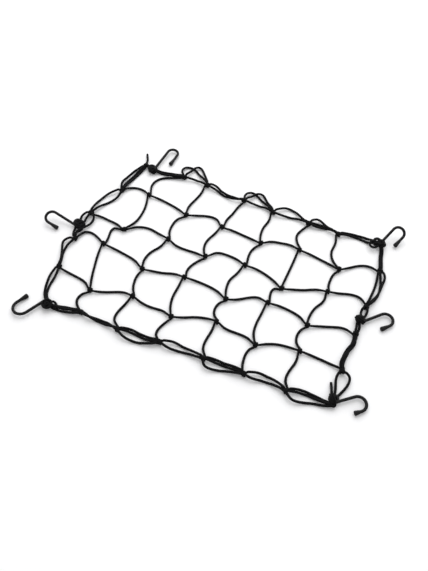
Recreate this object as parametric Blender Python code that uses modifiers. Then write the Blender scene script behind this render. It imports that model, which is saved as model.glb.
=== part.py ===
"""Builds a small elastic luggage net: a knotted cord mesh, the border cord round it and six hooks.

Blender 4.5, metres, +Z up. +X runs along the net's long side and +Y toward its back edge, and the net
lies on z = 0. The tables hold millimetres, as the net lies, seen from above. Each piece is modelled in
millimetres and scaled to metres when it is finished.
"""

import math
from collections import namedtuple

import bmesh
import bpy
from mathutils import Matrix, Vector

MM = 0.001
UP = Vector((0.0, 0.0, 1.0))

# The middle of the whole outline, hooks included, in the tables' own frame.
MIDDLE_X = -13.8
MIDDLE_Y = 15.0

# Cord of the mesh and of the border.
CORD_RADIUS = 1.6
TUBE_SIDES = 6
MESH_SAG = 1.2
BORDER_SAG = 1.5

# Heights of a cord's centre line above the floor.
KNOT_HEIGHT = 3.9
LOW = 1.7
HIGH = 5.2
SHOULDER = 0.3
CURVE_PARTS = 8

# Knots where two mesh cords cross: two turns of cord, as a ridged barrel.
KNOT_RIDGE = 4.4
KNOT_GROOVE = 3.2
KNOT_HALF_LENGTH = 4.6
RIDGE_PLACE = 0.45

# Collars of mesh cord, tied round the border cord, and the drawn-in border cord inside them.
COLLAR_RIDGE = 4.4
COLLAR_HOLE = 2.9
COLLAR_HALF_LENGTH = 2.8
COLLAR_WALL = 3.4
COLLAR_LEAD = 6.5
NECK_RADIUS = 2.2
NECK_HALF_LENGTH = 5.2
NECK_CLEAR = 9.0
STRAND_STAGGER = 0.4

# Hooks of coated wire: a round eye, a straight shank, a half-circle bend and a return whose coat swells
# to a thick tip. The shank starts a little behind the eye's side and the tip a little up the return.
WIRE_RADIUS = 1.75
EYE_RADIUS = 5.0
EYE_STEPS = 12
SHANK_LEAD = 1.5
BEND_STEPS = 7
TIP_RADIUS = 3.0
TIP_LENGTH = 12.0
TIP_LEAD = 1.5
RETURN_LEAST = 1.0
Swell = namedtuple("Swell", "down thickness")
TIP_SWELL = (Swell(0.0, 0.58), Swell(0.4, 0.78), Swell(0.75, 1.0), Swell(0.92, 1.0), Swell(1.0, 0.6))

# Two turns of border cord round each eye's rim.
TURN_ANGLE = math.radians(30.0)
TURN_HOLE = 2.8
TURN_HALF_LENGTH = 1.8
TIE_REACH = 9.6

# The block under the floor that everything is cut flat with.
FLOOR_LENGTH = 900.0
FLOOR_WIDTH = 700.0
FLOOR_DEPTH = 20.0

Paint = namedtuple("Paint", "name color roughness")
CORD_PAINT = Paint("black_elastic_cord", (0.012, 0.012, 0.014, 1.0), 0.75)
WIRE_PAINT = Paint("black_dipped_wire", (0.010, 0.010, 0.011, 1.0), 0.35)

# Knots of each line across the net, back to front. The first and last of a line lie on the border.
Line = namedtuple("Line", "left c1 c2 c3 c4 c5 c6 right")
LINES = (
    Line((-181, 149), (-126, 155), (-85, 154), (-19, 147), (31, 141), (89, 141), (136, 138), (197, 143)),
    Line((-204, 90), (-160, 97), (-89, 82), (-29, 81), (35, 75), (92, 85), (156, 74), (212, 95)),
    Line((-225, 29), (-164, 18), (-95, 27), (-29, 18), (30, 28), (92, 10), (153, 30), (211, 26)),
    Line((-221, -26), (-178, -18), (-104, -37), (-41, -27), (28, -39), (84, -22), (146, -35), (210, -22)),
    Line((-215, -81), (-153, -101), (-92, -86), (-29, -96), (30, -78), (93, -92), (150, -77), (210, -84)),
    Line((-196, -146), (-145, -138), (-87, -143), (-25, -138), (38, -138), (94, -134), (153, -140),
         (215, -130)),
)
BACK_LINE = 0
FRONT_LINE = 5

# How far each leg bows to the left of its travel, at a quarter, a half and three quarters of its length.
Bow = namedtuple("Bow", "quarter half three_quarters height", defaults=(LOW,))
RowBows = namedtuple("RowBows", "line legs")
ROW_BOWS = (
    RowBows(1, (Bow(9, 11, 8), Bow(3, 4, 3), Bow(6, 12, 12), Bow(2, 2, 1), Bow(7, 8, 7), Bow(2, 2, 1),
                Bow(4, 9, 8))),
    RowBows(2, (Bow(2, 3, 3), Bow(11, 13, 7), Bow(-4, -3, -1), Bow(12, 12, 8), Bow(5, 6, 4), Bow(0, 1, 3),
                Bow(5, 11, 12))),
    RowBows(3, (Bow(17, 16, 9), Bow(3, 5, 5), Bow(0, 1, 3), Bow(4, 6, 5), Bow(1, 6, 8), Bow(5, 7, 6),
                Bow(2, 5, 6))),
    RowBows(4, (Bow(1, 4, 5), Bow(0, 3, 5), Bow(-2, -1, 2), Bow(1, 4, 4), Bow(-2, 1, 3), Bow(4, 6, 4),
                Bow(2, 3, 3))),
)
ColumnBows = namedtuple("ColumnBows", "column legs")
COLUMN_BOWS = (
    ColumnBows(1, (Bow(-12, -21, -17), Bow(5, 8, 7), Bow(-14, -10, -3), Bow(-4, -4, -3), Bow(-10, -13, -9))),
    ColumnBows(2, (Bow(-1, -3, -5), Bow(-8, -9, -6), Bow(-2, -8, -8), Bow(-4, -5, -3), Bow(-5, -10, -10))),
    ColumnBows(3, (Bow(-1, -1, -2), Bow(-5, -10, -9), Bow(-3, -6, -5), Bow(-4, -7, -6), Bow(-4, -9, -10))),
    ColumnBows(4, (Bow(-1, -5, -5), Bow(-4, -5, -2), Bow(-4, -9, -7), Bow(-7, -9, -7), Bow(-2, -5, -5))),
    ColumnBows(5, (Bow(-6, -11, -7), Bow(-1, -1, -1), Bow(-9, -7, -3), Bow(-4, -7, -7), Bow(-6, -7, -6))),
    ColumnBows(6, (Bow(-4, -10, -9), Bow(-4, -4, -3), Bow(2, -3, -4), Bow(-7, -9, -7), Bow(0, -4, -5))),
)

# Hooks: the middle of the eye, where the shank heads, and the wire's own lengths. Side is +1 where the
# return lies to the left of the shank and -1 where it lies to the right.
Hook = namedtuple("Hook", "node x y height heading roll side shank bend back")
HOOKS = (
    Hook("hook_back_left", -183, 153, 4.6, 86, -5, -1, 45, 8.5, 24),
    Hook("hook_back_right", 193.5, 144, 6.4, 66, -20, -1, 31.5, 9.0, 19),
    Hook("hook_left", -232, 1.5, 5.2, 173, -15, 1, 37.5, 9.4, 18),
    Hook("hook_right", 209, 3, 4.6, 47, -3, -1, 31, 10.0, 14),
    Hook("hook_front_right", 212, -126.5, 4.6, 40, -3, -1, 27, 10.2, 10),
    Hook("hook_front_left", -197.5, -145, 4.6, -114, -3, -1, 28, 12.0, 18),
)

# Stations where the border cord is held, clockwise from the back left tie. A tie names its hook, a
# collar belongs to the mesh, and a knot is the border cord's own.
Station = namedtuple("Station", "name x y kind")
STATIONS = (
    Station("B0", -181, 149, "hook_back_left"),
    Station("B1", -126, 155, "collar"),
    Station("B2", -85, 154, "collar"),
    Station("B3", -19, 147, "collar"),
    Station("B4", 31, 141, "collar"),
    Station("B5", 89, 141, "collar"),
    Station("B6", 136, 138, "collar"),
    Station("B7", 196, 143, "hook_back_right"),
    Station("R1", 212, 95, "collar"),
    Station("R2", 211, 26, "collar"),
    Station("RH", 210, 0, "hook_right"),
    Station("R3", 210, -22, "collar"),
    Station("R4", 210, -84, "collar"),
    Station("F7", 214, -130, "hook_front_right"),
    Station("F6", 153, -140, "collar"),
    Station("F5", 94, -134, "collar"),
    Station("F4", 38, -138, "collar"),
    Station("F3", -25, -138, "collar"),
    Station("F2", -87, -143, "collar"),
    Station("F1", -145, -138, "collar"),
    Station("F0", -194, -145, "hook_front_left"),
    Station("L4", -215, -81, "collar"),
    Station("L3", -221, -26, "collar"),
    Station("LH", -228, 1, "hook_left"),
    Station("L2", -225, 29, "collar"),
    Station("L1", -204, 90, "collar"),
    Station("LX", -198, 150, "knot"),
)

# Strands of the border cord from one station to the next, clockwise. A Loop's points are measured along
# the straight line between the two stations and outward from it. A Twist is a bundle of three strands.
Loop = namedtuple("Loop", "points height", defaults=(LOW,))
Twist = namedtuple("Twist", "points turns height", defaults=(LOW + 1.3,))
Run = namedtuple("Run", "start end strands")
RUNS = (
    Run("B0", "B1", (Bow(2, 3, 2, HIGH), Bow(-1, -2, -2))),
    Run("B1", "B2", (Bow(1, 2, 2), Loop(((-8, 9), (-6, 21), (8, 23), (22, 15), (32, 8))),
                     Loop(((8, 8), (6, 19), (16, 30), (29, 16)), HIGH))),
    Run("B2", "B3", (Loop(((5, 6), (16, 4), (31, -1), (45, -5), (56, -4)), HIGH), Bow(-2, -4, -8))),
    Run("B3", "B4", (Bow(-1, 1, 2), Loop(((-5, 10), (3, 19), (17, 15), (30, 8), (40, 4))),
                     Loop(((9, 15), (21, 23), (36, 11)), HIGH))),
    Run("B4", "B5", (Bow(-1, 1, 2), Loop(((7, 9), (14, 15), (27, 16), (40, 9), (48, 3))))),
    Run("B5", "B6", (Loop(((5, 13), (19, 8), (32, 2)), HIGH), Bow(3, 4, 2), Bow(-2, 1, 3, HIGH))),
    Run("B6", "B7", (Bow(7, 8, 6), Bow(4, 3, -1, HIGH))),
    Run("B7", "R1", (Bow(5, 1, 0), Bow(7, 4, 3, HIGH))),
    Run("R1", "R2", (Loop(((8, -2), (18, 1), (33, 3), (47, 2), (58, 1))),
                     Loop(((6, 8), (14, 11), (30, 11), (47, 9), (59, 6))), Bow(9, 11, 6, HIGH))),
    Run("R2", "RH", (Loop(((7, -5), (14, -8), (19, -11))), Loop(((8, 3), (13, -5), (18, -11)), HIGH))),
    Run("RH", "R3", (Bow(1, 2, 1), Bow(-1, -2, -1, HIGH))),
    Run("R3", "R4", (Twist(((4, 3), (17, 1), (31, -2), (45, -4), (57, -2)), 2.0),)),
    Run("R4", "F7", (Loop(((12, -5), (23, -4), (33, -7), (40, -12))),
                     Loop(((1, 8), (9, 11), (19, 9), (29, 2), (37, -10)), HIGH))),
    Run("F7", "F6", (Bow(2, -2, -4, HIGH), Loop(((5, 9), (16, 7), (30, 8), (45, 10), (55, 9))))),
    Run("F6", "F5", (Bow(-5, -8, -7, HIGH), Bow(1, 2, 5))),
    Run("F5", "F4", (Bow(-1, -2, -3), Bow(3, 1, 0, HIGH),
                     Loop(((8, 5), (18, 8), (31, 10), (44, 12), (53, 8))))),
    Run("F4", "F3", (Bow(-4, -6, -7), Bow(1, 2, 4))),
    Run("F3", "F2", (Bow(-2, -3, -4), Bow(2, 1, -1, HIGH), Bow(7, 9, 8))),
    Run("F2", "F1", (Bow(1, 1, 1), Bow(-2, -1, 2, HIGH))),
    Run("F1", "F0", (Bow(0, 2, 2), Loop(((5, 4), (13, 5), (23, 6), (34, 4), (42, 2)), HIGH))),
    Run("F0", "L4", (Bow(9, 11, 9), Bow(6, 6, 1, HIGH))),
    Run("L4", "L3", (Loop(((10, 2), (20, 5), (32, 10), (44, 14), (50, 11))), Bow(2, 6, 5, HIGH))),
    Run("L3", "LH", (Loop(((9, 5), (15, 5), (20, 2)), HIGH), Bow(2, -1, -6))),
    Run("L3", "L2", (Loop(((9, 2), (18, -1), (29, -7), (41, -10), (50, -7)), HIGH),)),
    Run("LH", "L2", (Loop(((8, -1), (12, 5), (18, 7), (24, 5)), HIGH), Bow(0, 2, 3))),
    Run("L2", "L1", (Bow(8, 11, 9, HIGH), Bow(0, -3, -6))),
    Run("L1", "LX", (Bow(8, 8, 6, HIGH), Bow(5, 4, 1), Bow(1, 0, -2))),
    Run("LX", "B0", (Bow(1, 1, 1), Bow(-1, -1, -1, HIGH))),
)
TWIST_STRANDS = 3
TWIST_RADIUS = 1.3
TWIST_SAG = 0.0

# Cut ends of the border cord, free on the floor.
Tail = namedtuple("Tail", "points")
TAILS = (
    Tail(((-198, 151, 4.5), (-199, 157, 4.2), (-200, 165, 3.0), (-202, 173, 2.4), (-205, 180, 2.8))),
    Tail(((204, -130, 4.6), (202, -124, 4.4), (204, -117, 3.2), (204, -111, 2.6), (202, -105, 3.0))),
)


def clear_scene():
    """Removes every object that the file already holds."""
    for thing in list(bpy.data.objects):
        bpy.data.objects.remove(thing, do_unlink=True)


def add_collection(name, hidden=False):
    """Makes a collection in the scene, left out of renders where it holds cutters."""
    collection = bpy.data.collections.new(name)
    collection.hide_render = hidden
    bpy.context.scene.collection.children.link(collection)
    return collection


def make_material(paint):
    """Makes a plain Principled material."""
    material = bpy.data.materials.new(paint.name)
    material.use_nodes = True
    shader = material.node_tree.nodes["Principled BSDF"]
    shader.inputs["Base Color"].default_value = paint.color
    shader.inputs["Roughness"].default_value = paint.roughness
    return material


def flat(point):
    """Turns an (x, y) of a table into a vector on the floor."""
    return Vector((point[0], point[1], 0.0))


def left_of(direction):
    """Gives the level direction a quarter turn to the left of this one."""
    return Vector((-direction.y, direction.x, 0.0))


def unit(vector):
    """Gives the level unit vector along this one."""
    return Vector((vector.x, vector.y, 0.0)).normalized()


def plan_distance(first, second):
    """Gives the distance between two places as seen from above."""
    return math.hypot(first.x - second.x, first.y - second.y)


def curve_point(before, start, end, after, share):
    """Reads a centripetal Catmull-Rom curve between start and end, share running from 0 to 1."""
    knots = [0.0]
    for near, far in ((before, start), (start, end), (end, after)):
        knots.append(knots[-1] + max(math.sqrt((far - near).length), 1e-6))
    place = knots[1] + share * (knots[2] - knots[1])

    def blend(first, second, low, high):
        """Reads the straight line between two points that are passed at low and high."""
        return first.lerp(second, (place - low) / (high - low))

    a = blend(before, start, knots[0], knots[1])
    b = blend(start, end, knots[1], knots[2])
    c = blend(end, after, knots[2], knots[3])
    return blend(blend(a, b, knots[0], knots[2]), blend(b, c, knots[1], knots[3]), knots[1], knots[2])


def farthest(route, start, end):
    """Gives the point between two others that lies farthest from the straight line between them."""
    along = (route[end] - route[start]).normalized()
    gaps = [(route[index] - route[start]).cross(along).length for index in range(start + 1, end)]
    most = max(gaps, default=0.0)
    return most, start + 1 + gaps.index(most) if gaps else start


def thinned(route, start, end, sag):
    """Gives the points that a route needs so that its chords stay within a sag of it, its end left out."""
    most, middle = farthest(route, start, end)
    if most <= sag:
        return [route[start]]
    return thinned(route, start, middle, sag) + thinned(route, middle, end, sag)


def smooth_route(points, sag):
    """Gives a smooth curve through these points as chords that stay within a sag of it."""
    points = [points[0] * 2.0 - points[1], *points, points[-1] * 2.0 - points[-2]]
    fine = [points[1]]
    for index in range(1, len(points) - 2):
        for part in range(1, CURVE_PARTS + 1):
            fine.append(curve_point(*points[index - 1:index + 3], part / CURVE_PARTS))
    return thinned(fine, 0, len(fine) - 1, sag) + [fine[-1]]


def mesh_of(thing):
    """Gives the finished mesh of an object and removes the object."""
    bpy.context.scene.collection.objects.link(thing)
    depsgraph = bpy.context.evaluated_depsgraph_get()
    mesh = bpy.data.meshes.new_from_object(thing.evaluated_get(depsgraph))
    bpy.data.objects.remove(thing, do_unlink=True)
    welded = bmesh.new()
    welded.from_mesh(mesh)
    bmesh.ops.remove_doubles(welded, verts=welded.verts, dist=0.001)
    bmesh.ops.recalc_face_normals(welded, faces=welded.faces)
    welded.to_mesh(mesh)
    welded.free()
    return mesh


def tube(route, radius, radii=None):
    """Makes a round bar along a route, closed at both ends. Radii are shares of the radius."""
    curve = bpy.data.curves.new("tube", "CURVE")
    curve.dimensions = "3D"
    curve.bevel_depth = radius
    curve.bevel_resolution = (TUBE_SIDES - 4) // 2
    curve.use_fill_caps = True
    spline = curve.splines.new("POLY")
    spline.points.add(len(route) - 1)
    for index, place in enumerate(route):
        spline.points[index].co = (*place, 1.0)
        spline.points[index].radius = radii[index] if radii else 1.0
    return mesh_of(bpy.data.objects.new("tube", curve))


def ring_tube(rim, radius):
    """Makes a round bar bent to a closed ring."""
    curve = bpy.data.curves.new("ring", "CURVE")
    curve.dimensions = "3D"
    curve.bevel_depth = radius
    curve.bevel_resolution = 1
    spline = curve.splines.new("POLY")
    spline.points.add(len(rim) - 1)
    for index, spot in enumerate(rim):
        spline.points[index].co = (*spot, 1.0)
    spline.use_cyclic_u = True
    return mesh_of(bpy.data.objects.new("ring", curve))


def turned(profile, ring=False):
    """Turns a profile of (radius, height) pairs about Z. A ring's profile is joined end to end."""
    mesh = bpy.data.meshes.new("turned")
    count = len(profile)
    edges = [(index, index + 1) for index in range(count - 1)]
    if ring:
        edges.append((count - 1, 0))
    mesh.from_pydata([(radius, 0.0, height) for radius, height in profile], edges, [])
    thing = bpy.data.objects.new("turned", mesh)
    screw = thing.modifiers.new("Turn", "SCREW")
    screw.steps = TUBE_SIDES
    screw.render_steps = TUBE_SIDES
    screw.use_merge_vertices = True
    screw.merge_threshold = 0.0001
    return mesh_of(thing)


def place(mesh, centre, direction):
    """Turns a mesh so that its own Z runs along a direction, and moves it to a centre."""
    turn = UP.rotation_difference(direction).to_matrix().to_4x4()
    mesh.transform(Matrix.Translation(centre) @ turn)
    return mesh


def barrel(centre, direction):
    """Makes a knot: two turns of cord about the axis given."""
    end = KNOT_HALF_LENGTH
    profile = ((0.0, -end), (KNOT_RIDGE, -end * RIDGE_PLACE), (KNOT_GROOVE, 0.0),
               (KNOT_RIDGE, end * RIDGE_PLACE), (0.0, end))
    return place(turned(profile), centre, direction)


def collar(centre, direction, hole, half_length):
    """Makes turns of cord round an open middle."""
    profile = ((hole, -half_length), (COLLAR_RIDGE, -half_length * RIDGE_PLACE),
               (COLLAR_RIDGE, half_length * RIDGE_PLACE), (hole, half_length))
    return place(turned(profile, ring=True), centre, direction)


def neck(centre, direction):
    """Makes the strands of the border cord where they are drawn together."""
    reach = direction * NECK_HALF_LENGTH
    return tube((centre - reach, centre + reach), NECK_RADIUS)


def join_on_floor(node, meshes, paint, collection, cutters):
    """Joins meshes to one solid, cuts it flat at the floor and gives it its material."""
    joined = bmesh.new()
    for mesh in meshes:
        joined.from_mesh(mesh)
        bpy.data.meshes.remove(mesh)
    whole = bpy.data.meshes.new(node)
    joined.to_mesh(whole)
    joined.free()
    whole.transform(Matrix.Translation((-MIDDLE_X, -MIDDLE_Y, 0.0)))
    thing = bpy.data.objects.new(node, whole)
    collection.objects.link(thing)
    cut = thing.modifiers.new("Floor", "BOOLEAN")
    cut.operation = "DIFFERENCE"
    cut.solver = "EXACT"
    cut.use_self = True
    cut.object = cutters["floor"]
    depsgraph = bpy.context.evaluated_depsgraph_get()
    solid = bpy.data.meshes.new_from_object(thing.evaluated_get(depsgraph))
    thing.modifiers.clear()
    solid.transform(Matrix.Scale(MM, 4))
    solid.materials.clear()
    solid.materials.append(make_material(paint._replace(name=f"{paint.name}_{node}")))
    thing.data = solid
    bpy.data.meshes.remove(whole)
    solid.name = node
    return thing


def make_floor_cutter(collection):
    """Makes the block below z = 0 that flattens what rests on the floor."""
    bpy.ops.mesh.primitive_cube_add(size=1.0, location=(0.0, 0.0, -FLOOR_DEPTH / 2.0))
    block = bpy.context.object
    block.name = "floor"
    block.scale = (FLOOR_LENGTH, FLOOR_WIDTH, FLOOR_DEPTH)
    bpy.ops.object.transform_apply(location=True, rotation=False, scale=True)
    block.display_type = "WIRE"
    block.hide_render = True
    for owner in list(block.users_collection):
        owner.objects.unlink(block)
    collection.objects.link(block)
    return block


def hook_axes(hook):
    """Gives the shank's direction and the direction from shank to return, with the tip on the floor."""
    heading = math.radians(hook.heading)
    roll = math.radians(hook.roll)
    along = hook.shank - hook.back
    across = (EYE_RADIUS + 2.0 * hook.bend) * math.sin(roll)
    drop = (TIP_RADIUS - hook.height) / math.hypot(along, across)
    pitch = math.asin(drop) - math.atan2(across, along)
    ahead = Vector((math.cos(heading), math.sin(heading), 0.0))
    shank = ahead * math.cos(pitch) + UP * math.sin(pitch)
    raised = UP * math.cos(pitch) - ahead * math.sin(pitch)
    over = left_of(ahead) * (hook.side * math.cos(roll)) + raised * math.sin(roll)
    return shank, over


def hook_route(hook):
    """Gives a hook's centre line from behind the eye's side round the bend, and the place of its end."""
    shank, over = hook_axes(hook)
    eye = Vector((hook.x, hook.y, hook.height))
    side = eye + over * EYE_RADIUS
    turn = side + shank * hook.shank + over * hook.bend
    route = [side - shank * SHANK_LEAD]
    for step in range(BEND_STEPS + 1):
        angle = math.pi * step / BEND_STEPS
        route.append(turn - over * (hook.bend * math.cos(angle)) + shank * (hook.bend * math.sin(angle)))
    return route, route[-1] - shank * hook.back


def build_hook(hook, collection, cutters):
    """Builds one hook: its eye, its bent wire and its thick tip."""
    shank, over = hook_axes(hook)
    eye = Vector((hook.x, hook.y, hook.height))
    rim = []
    for step in range(EYE_STEPS):
        angle = 2.0 * math.pi * step / EYE_STEPS
        rim.append(eye + (shank * math.cos(angle) + over * math.sin(angle)) * EYE_RADIUS)
    route, end = hook_route(hook)
    length = min(TIP_LENGTH, hook.back - RETURN_LEAST)
    route.append(end + shank * length)
    length += TIP_LEAD
    tip = [end + shank * (length * (1.0 - swell.down)) for swell in TIP_SWELL]
    thickness = [swell.thickness for swell in TIP_SWELL]
    pieces = [ring_tube(rim, WIRE_RADIUS), tube(route, WIRE_RADIUS), tube(tip, TIP_RADIUS, radii=thickness)]
    return join_on_floor(hook.node, pieces, WIRE_PAINT, collection, cutters)


def tie_centre(hook):
    """Gives the middle of the drawn-in border cord beside a hook's eye, and its clockwise direction."""
    shank, _ = hook_axes(hook)
    clockwise = -left_of(unit(shank))
    return Vector((hook.x, hook.y, hook.height)) - shank * TIE_REACH, clockwise


def station_places():
    """Gives each station's centre and its clockwise direction, by name."""
    hooks = {hook.node: hook for hook in HOOKS}
    places = {}
    for index, station in enumerate(STATIONS):
        if station.kind in hooks:
            places[station.name] = tie_centre(hooks[station.kind])
            continue
        before = STATIONS[index - 1]
        after = STATIONS[(index + 1) % len(STATIONS)]
        clockwise = unit(Vector((after.x - before.x, after.y - before.y, 0.0)))
        places[station.name] = (Vector((station.x, station.y, KNOT_HEIGHT)), clockwise)
    return places


def bowed(start, end, bow):
    """Gives the three middle points of a strand that bows to the left of the line between two knots."""
    along = end - start
    left = left_of(unit(along))
    middle = []
    for share, out in ((0.25, bow.quarter), (0.5, bow.half), (0.75, bow.three_quarters)):
        lift = bow.height if share == 0.5 else bow.height + (KNOT_HEIGHT - bow.height) * SHOULDER
        middle.append(start + along * share + left * out + UP * lift)
    return middle


def looped(start, end, loop):
    """Gives the middle points of a strand that stands out in a loop."""
    ahead = unit(end - start)
    left = left_of(ahead)
    last = len(loop.points) - 1
    middle = []
    for index, (along, out) in enumerate(loop.points):
        lift = loop.height if 0 < index < last else loop.height + (KNOT_HEIGHT - loop.height) * SHOULDER
        middle.append(start + ahead * along + left * out + UP * lift)
    return middle


def mesh_collar_of(line, column):
    """Names the station on the rim at a line's end or a column's end."""
    if line == BACK_LINE:
        return f"B{column}"
    if line == FRONT_LINE:
        return f"F{column}"
    return f"L{line}" if column == 0 else f"R{line}"


def cord_points(knots, legs, places, ends):
    """Gives the points of one mesh cord, from the collar at its start to the collar at its end."""
    points = []
    for index, leg in enumerate(legs):
        start = flat(knots[index])
        end = flat(knots[index + 1])
        points.append(start + UP * KNOT_HEIGHT)
        points += bowed(start, end, leg)
    points.append(flat(knots[-1]) + UP * KNOT_HEIGHT)
    for index, name in ((0, ends[0]), (-1, ends[1])):
        centre, clockwise = places[name]
        inward = -left_of(clockwise)
        points[index] = centre + inward * COLLAR_WALL
        points.insert(1 if index == 0 else -1, centre + inward * COLLAR_LEAD)
    return points


def build_net(places, collection, cutters):
    """Builds the mesh: row and column cords, a knot at each crossing and a collar at each cord's end."""
    pieces = []
    for row in ROW_BOWS:
        ends = (mesh_collar_of(row.line, 0), mesh_collar_of(row.line, 7))
        points = cord_points(LINES[row.line], row.legs, places, ends)
        pieces.append(tube(smooth_route(points, MESH_SAG), CORD_RADIUS))
        for column in range(1, 7):
            middle = column * 4 + 1
            spot = points[middle]
            direction = unit(points[middle + 1] - points[middle - 1])
            pieces.append(barrel(spot, direction))
    for column in COLUMN_BOWS:
        knots = [line[column.column] for line in LINES]
        ends = (mesh_collar_of(BACK_LINE, column.column), mesh_collar_of(FRONT_LINE, column.column))
        points = cord_points(knots, column.legs, places, ends)
        pieces.append(tube(smooth_route(points, MESH_SAG), CORD_RADIUS))
    for station in STATIONS:
        if station.kind == "collar":
            centre, clockwise = places[station.name]
            pieces.append(collar(centre, clockwise, COLLAR_HOLE, COLLAR_HALF_LENGTH))
    return join_on_floor("net_mesh", pieces, CORD_PAINT, collection, cutters)


def strand_routes(run, places):
    """Gives the centre line of each strand of the border cord between two stations."""
    marks = {station.name: flat((station.x, station.y)) for station in STATIONS}
    start, end = marks[run.start], marks[run.end]
    start_place, start_way = places[run.start]
    end_place, end_way = places[run.end]
    routes = []
    for index, strand in enumerate(run.strands):
        reach = NECK_HALF_LENGTH - STRAND_STAGGER * (index + 1)
        starts_back = isinstance(strand, Loop) and strand.points[0][0] < 0
        first = start_place + start_way * (-reach if starts_back else reach)
        last = end_place - end_way * reach
        if isinstance(strand, Bow):
            middle = bowed(start, end, strand)
        else:
            middle = looped(start, end, strand)
        middle = [spot for spot in middle
                  if min(plan_distance(spot, start_place), plan_distance(spot, end_place)) > NECK_CLEAR]
        if isinstance(strand, Twist):
            routes += twisted(smooth_route([first, *middle, last], TWIST_SAG), strand.turns)
        else:
            routes.append(smooth_route([first, *middle, last], BORDER_SAG))
    return routes


def twisted(route, turns):
    """Gives three strands wound round a route, drawn together at its ends."""
    routes = []
    last = len(route) - 1
    for strand in range(TWIST_STRANDS):
        wound = []
        for index in range(0, last, 3):
            ahead = unit(route[min(index + 1, last)] - route[max(index - 1, 0)])
            angle = 2.0 * math.pi * (strand / TWIST_STRANDS + turns * index / last)
            spread = TWIST_RADIUS * min(1.0, 4.0 * index / last, 4.0 * (last - index) / last)
            side = left_of(ahead) * math.cos(angle) + UP * math.sin(angle)
            wound.append(route[index] + side * spread)
        wound.append(route[-1])
        routes.append(wound)
    return routes


def build_border(places, collection, cutters):
    """Builds the border cord: its strands, its ties round the hooks' eyes, and its loose ends."""
    pieces = []
    for station in STATIONS:
        centre, clockwise = places[station.name]
        pieces.append(neck(centre, clockwise))
        if station.kind == "knot":
            pieces.append(barrel(centre, clockwise))
    for hook in HOOKS:
        shank, over = hook_axes(hook)
        eye = Vector((hook.x, hook.y, hook.height))
        for angle in (-TURN_ANGLE, TURN_ANGLE):
            out = over * math.sin(angle) - shank * math.cos(angle)
            way = over * math.cos(angle) + shank * math.sin(angle)
            pieces.append(collar(eye + out * EYE_RADIUS, way, TURN_HOLE, TURN_HALF_LENGTH))
    for run in RUNS:
        for route in strand_routes(run, places):
            pieces.append(tube(route, CORD_RADIUS))
    for tail in TAILS:
        points = [Vector(point) for point in tail.points]
        pieces.append(tube(smooth_route(points, BORDER_SAG), CORD_RADIUS))
    return join_on_floor("border_cord", pieces, CORD_PAINT, collection, cutters)


def main():
    """Builds the whole net."""
    clear_scene()
    cutters_collection = add_collection("cutters", hidden=True)
    collection = add_collection("cargo_net")
    cutters = {"floor": make_floor_cutter(cutters_collection)}
    places = station_places()
    build_net(places, collection, cutters)
    build_border(places, collection, cutters)
    for hook in HOOKS:
        build_hook(hook, collection, cutters)


main()
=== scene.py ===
"""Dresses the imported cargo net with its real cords, knots, ties and coated hooks, and sets up the studio.

Lengths in the tables are in millimetres, as the net lies, seen from above: x runs to the right along the
long side and y toward the back edge. They follow the knots and stations of the part's own solids.
"""

from __future__ import annotations

import logging
import math
from collections.abc import Callable, Mapping, Sequence
from dataclasses import dataclass, field
from enum import Enum
from types import MappingProxyType
from typing import Any

import bmesh
import bpy
import numpy as np
from mathutils import Matrix, Vector

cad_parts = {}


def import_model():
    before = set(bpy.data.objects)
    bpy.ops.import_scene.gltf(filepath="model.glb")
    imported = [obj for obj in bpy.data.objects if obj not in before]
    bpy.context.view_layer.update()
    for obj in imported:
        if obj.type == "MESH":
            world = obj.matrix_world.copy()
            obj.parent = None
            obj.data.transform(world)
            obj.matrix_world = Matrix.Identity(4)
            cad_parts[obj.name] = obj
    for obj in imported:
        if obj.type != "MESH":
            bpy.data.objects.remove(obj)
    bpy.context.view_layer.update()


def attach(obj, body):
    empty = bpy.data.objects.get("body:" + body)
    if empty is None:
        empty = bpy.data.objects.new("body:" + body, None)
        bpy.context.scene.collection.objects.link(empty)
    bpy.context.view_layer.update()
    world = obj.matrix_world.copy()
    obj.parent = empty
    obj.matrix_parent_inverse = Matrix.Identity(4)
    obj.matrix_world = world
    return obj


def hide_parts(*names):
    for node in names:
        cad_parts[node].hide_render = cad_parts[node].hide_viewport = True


LOG = logging.getLogger("cargo_net")
MM = 0.001
UP = Vector((0.0, 0.0, 1.0))
FULL_TURN = 2.0 * math.pi

# Values and sockets for a node's inputs, by the input's name or number.
Settings = Mapping[Any, Any]
Links = Mapping[Any, bpy.types.NodeSocket]

# The numbers of a Mix node's sockets, since several of them share a name.
FACTOR, FIRST, SECOND, FIRST_COLOUR, SECOND_COLOUR = 0, 2, 3, 6, 7
MIXED_COLOUR = 2

# The middle of the whole outline, hooks included, in the tables' own frame.
MIDDLE = Vector((-13.8, 15.0, 0.0))

# Heights of a cord's centre line above the floor: lying on it, and in a knot. Cords higher than the last
# are a knot's own top turns, and no strand is laid over them.
LOW = 1.8
KNOT_HEIGHT = 3.9
TOP_HEIGHT = KNOT_HEIGHT + 0.5

# The share of the climb to a knot that a cord has made at its last point before it.
SHOULDER = 0.3

# The least height of a cord's centre line, in its own radii, so that no cord sinks into the floor.
ON_FLOOR = 1.01

# How much of their thickness two cords keep where one is pressed on the other, and how steeply the upper
# one comes down again.
PRESSED = 0.78
HUMP_SLOPE = 0.16

# How far a point of a slack cord moves toward the middle of its neighbours, and then back.
RELAXING_STEPS = (0.5, -0.52)

# Points closer than this are one, and radii closer than this are alike.
NEAR = 0.001

# The least time from one point of a curve to the next, so that nothing is divided by zero.
LEAST_TIME = 1e-6

# Edges that bend less than this are shaded smooth.
SMOOTH_ANGLE = math.radians(50.0)

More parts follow.
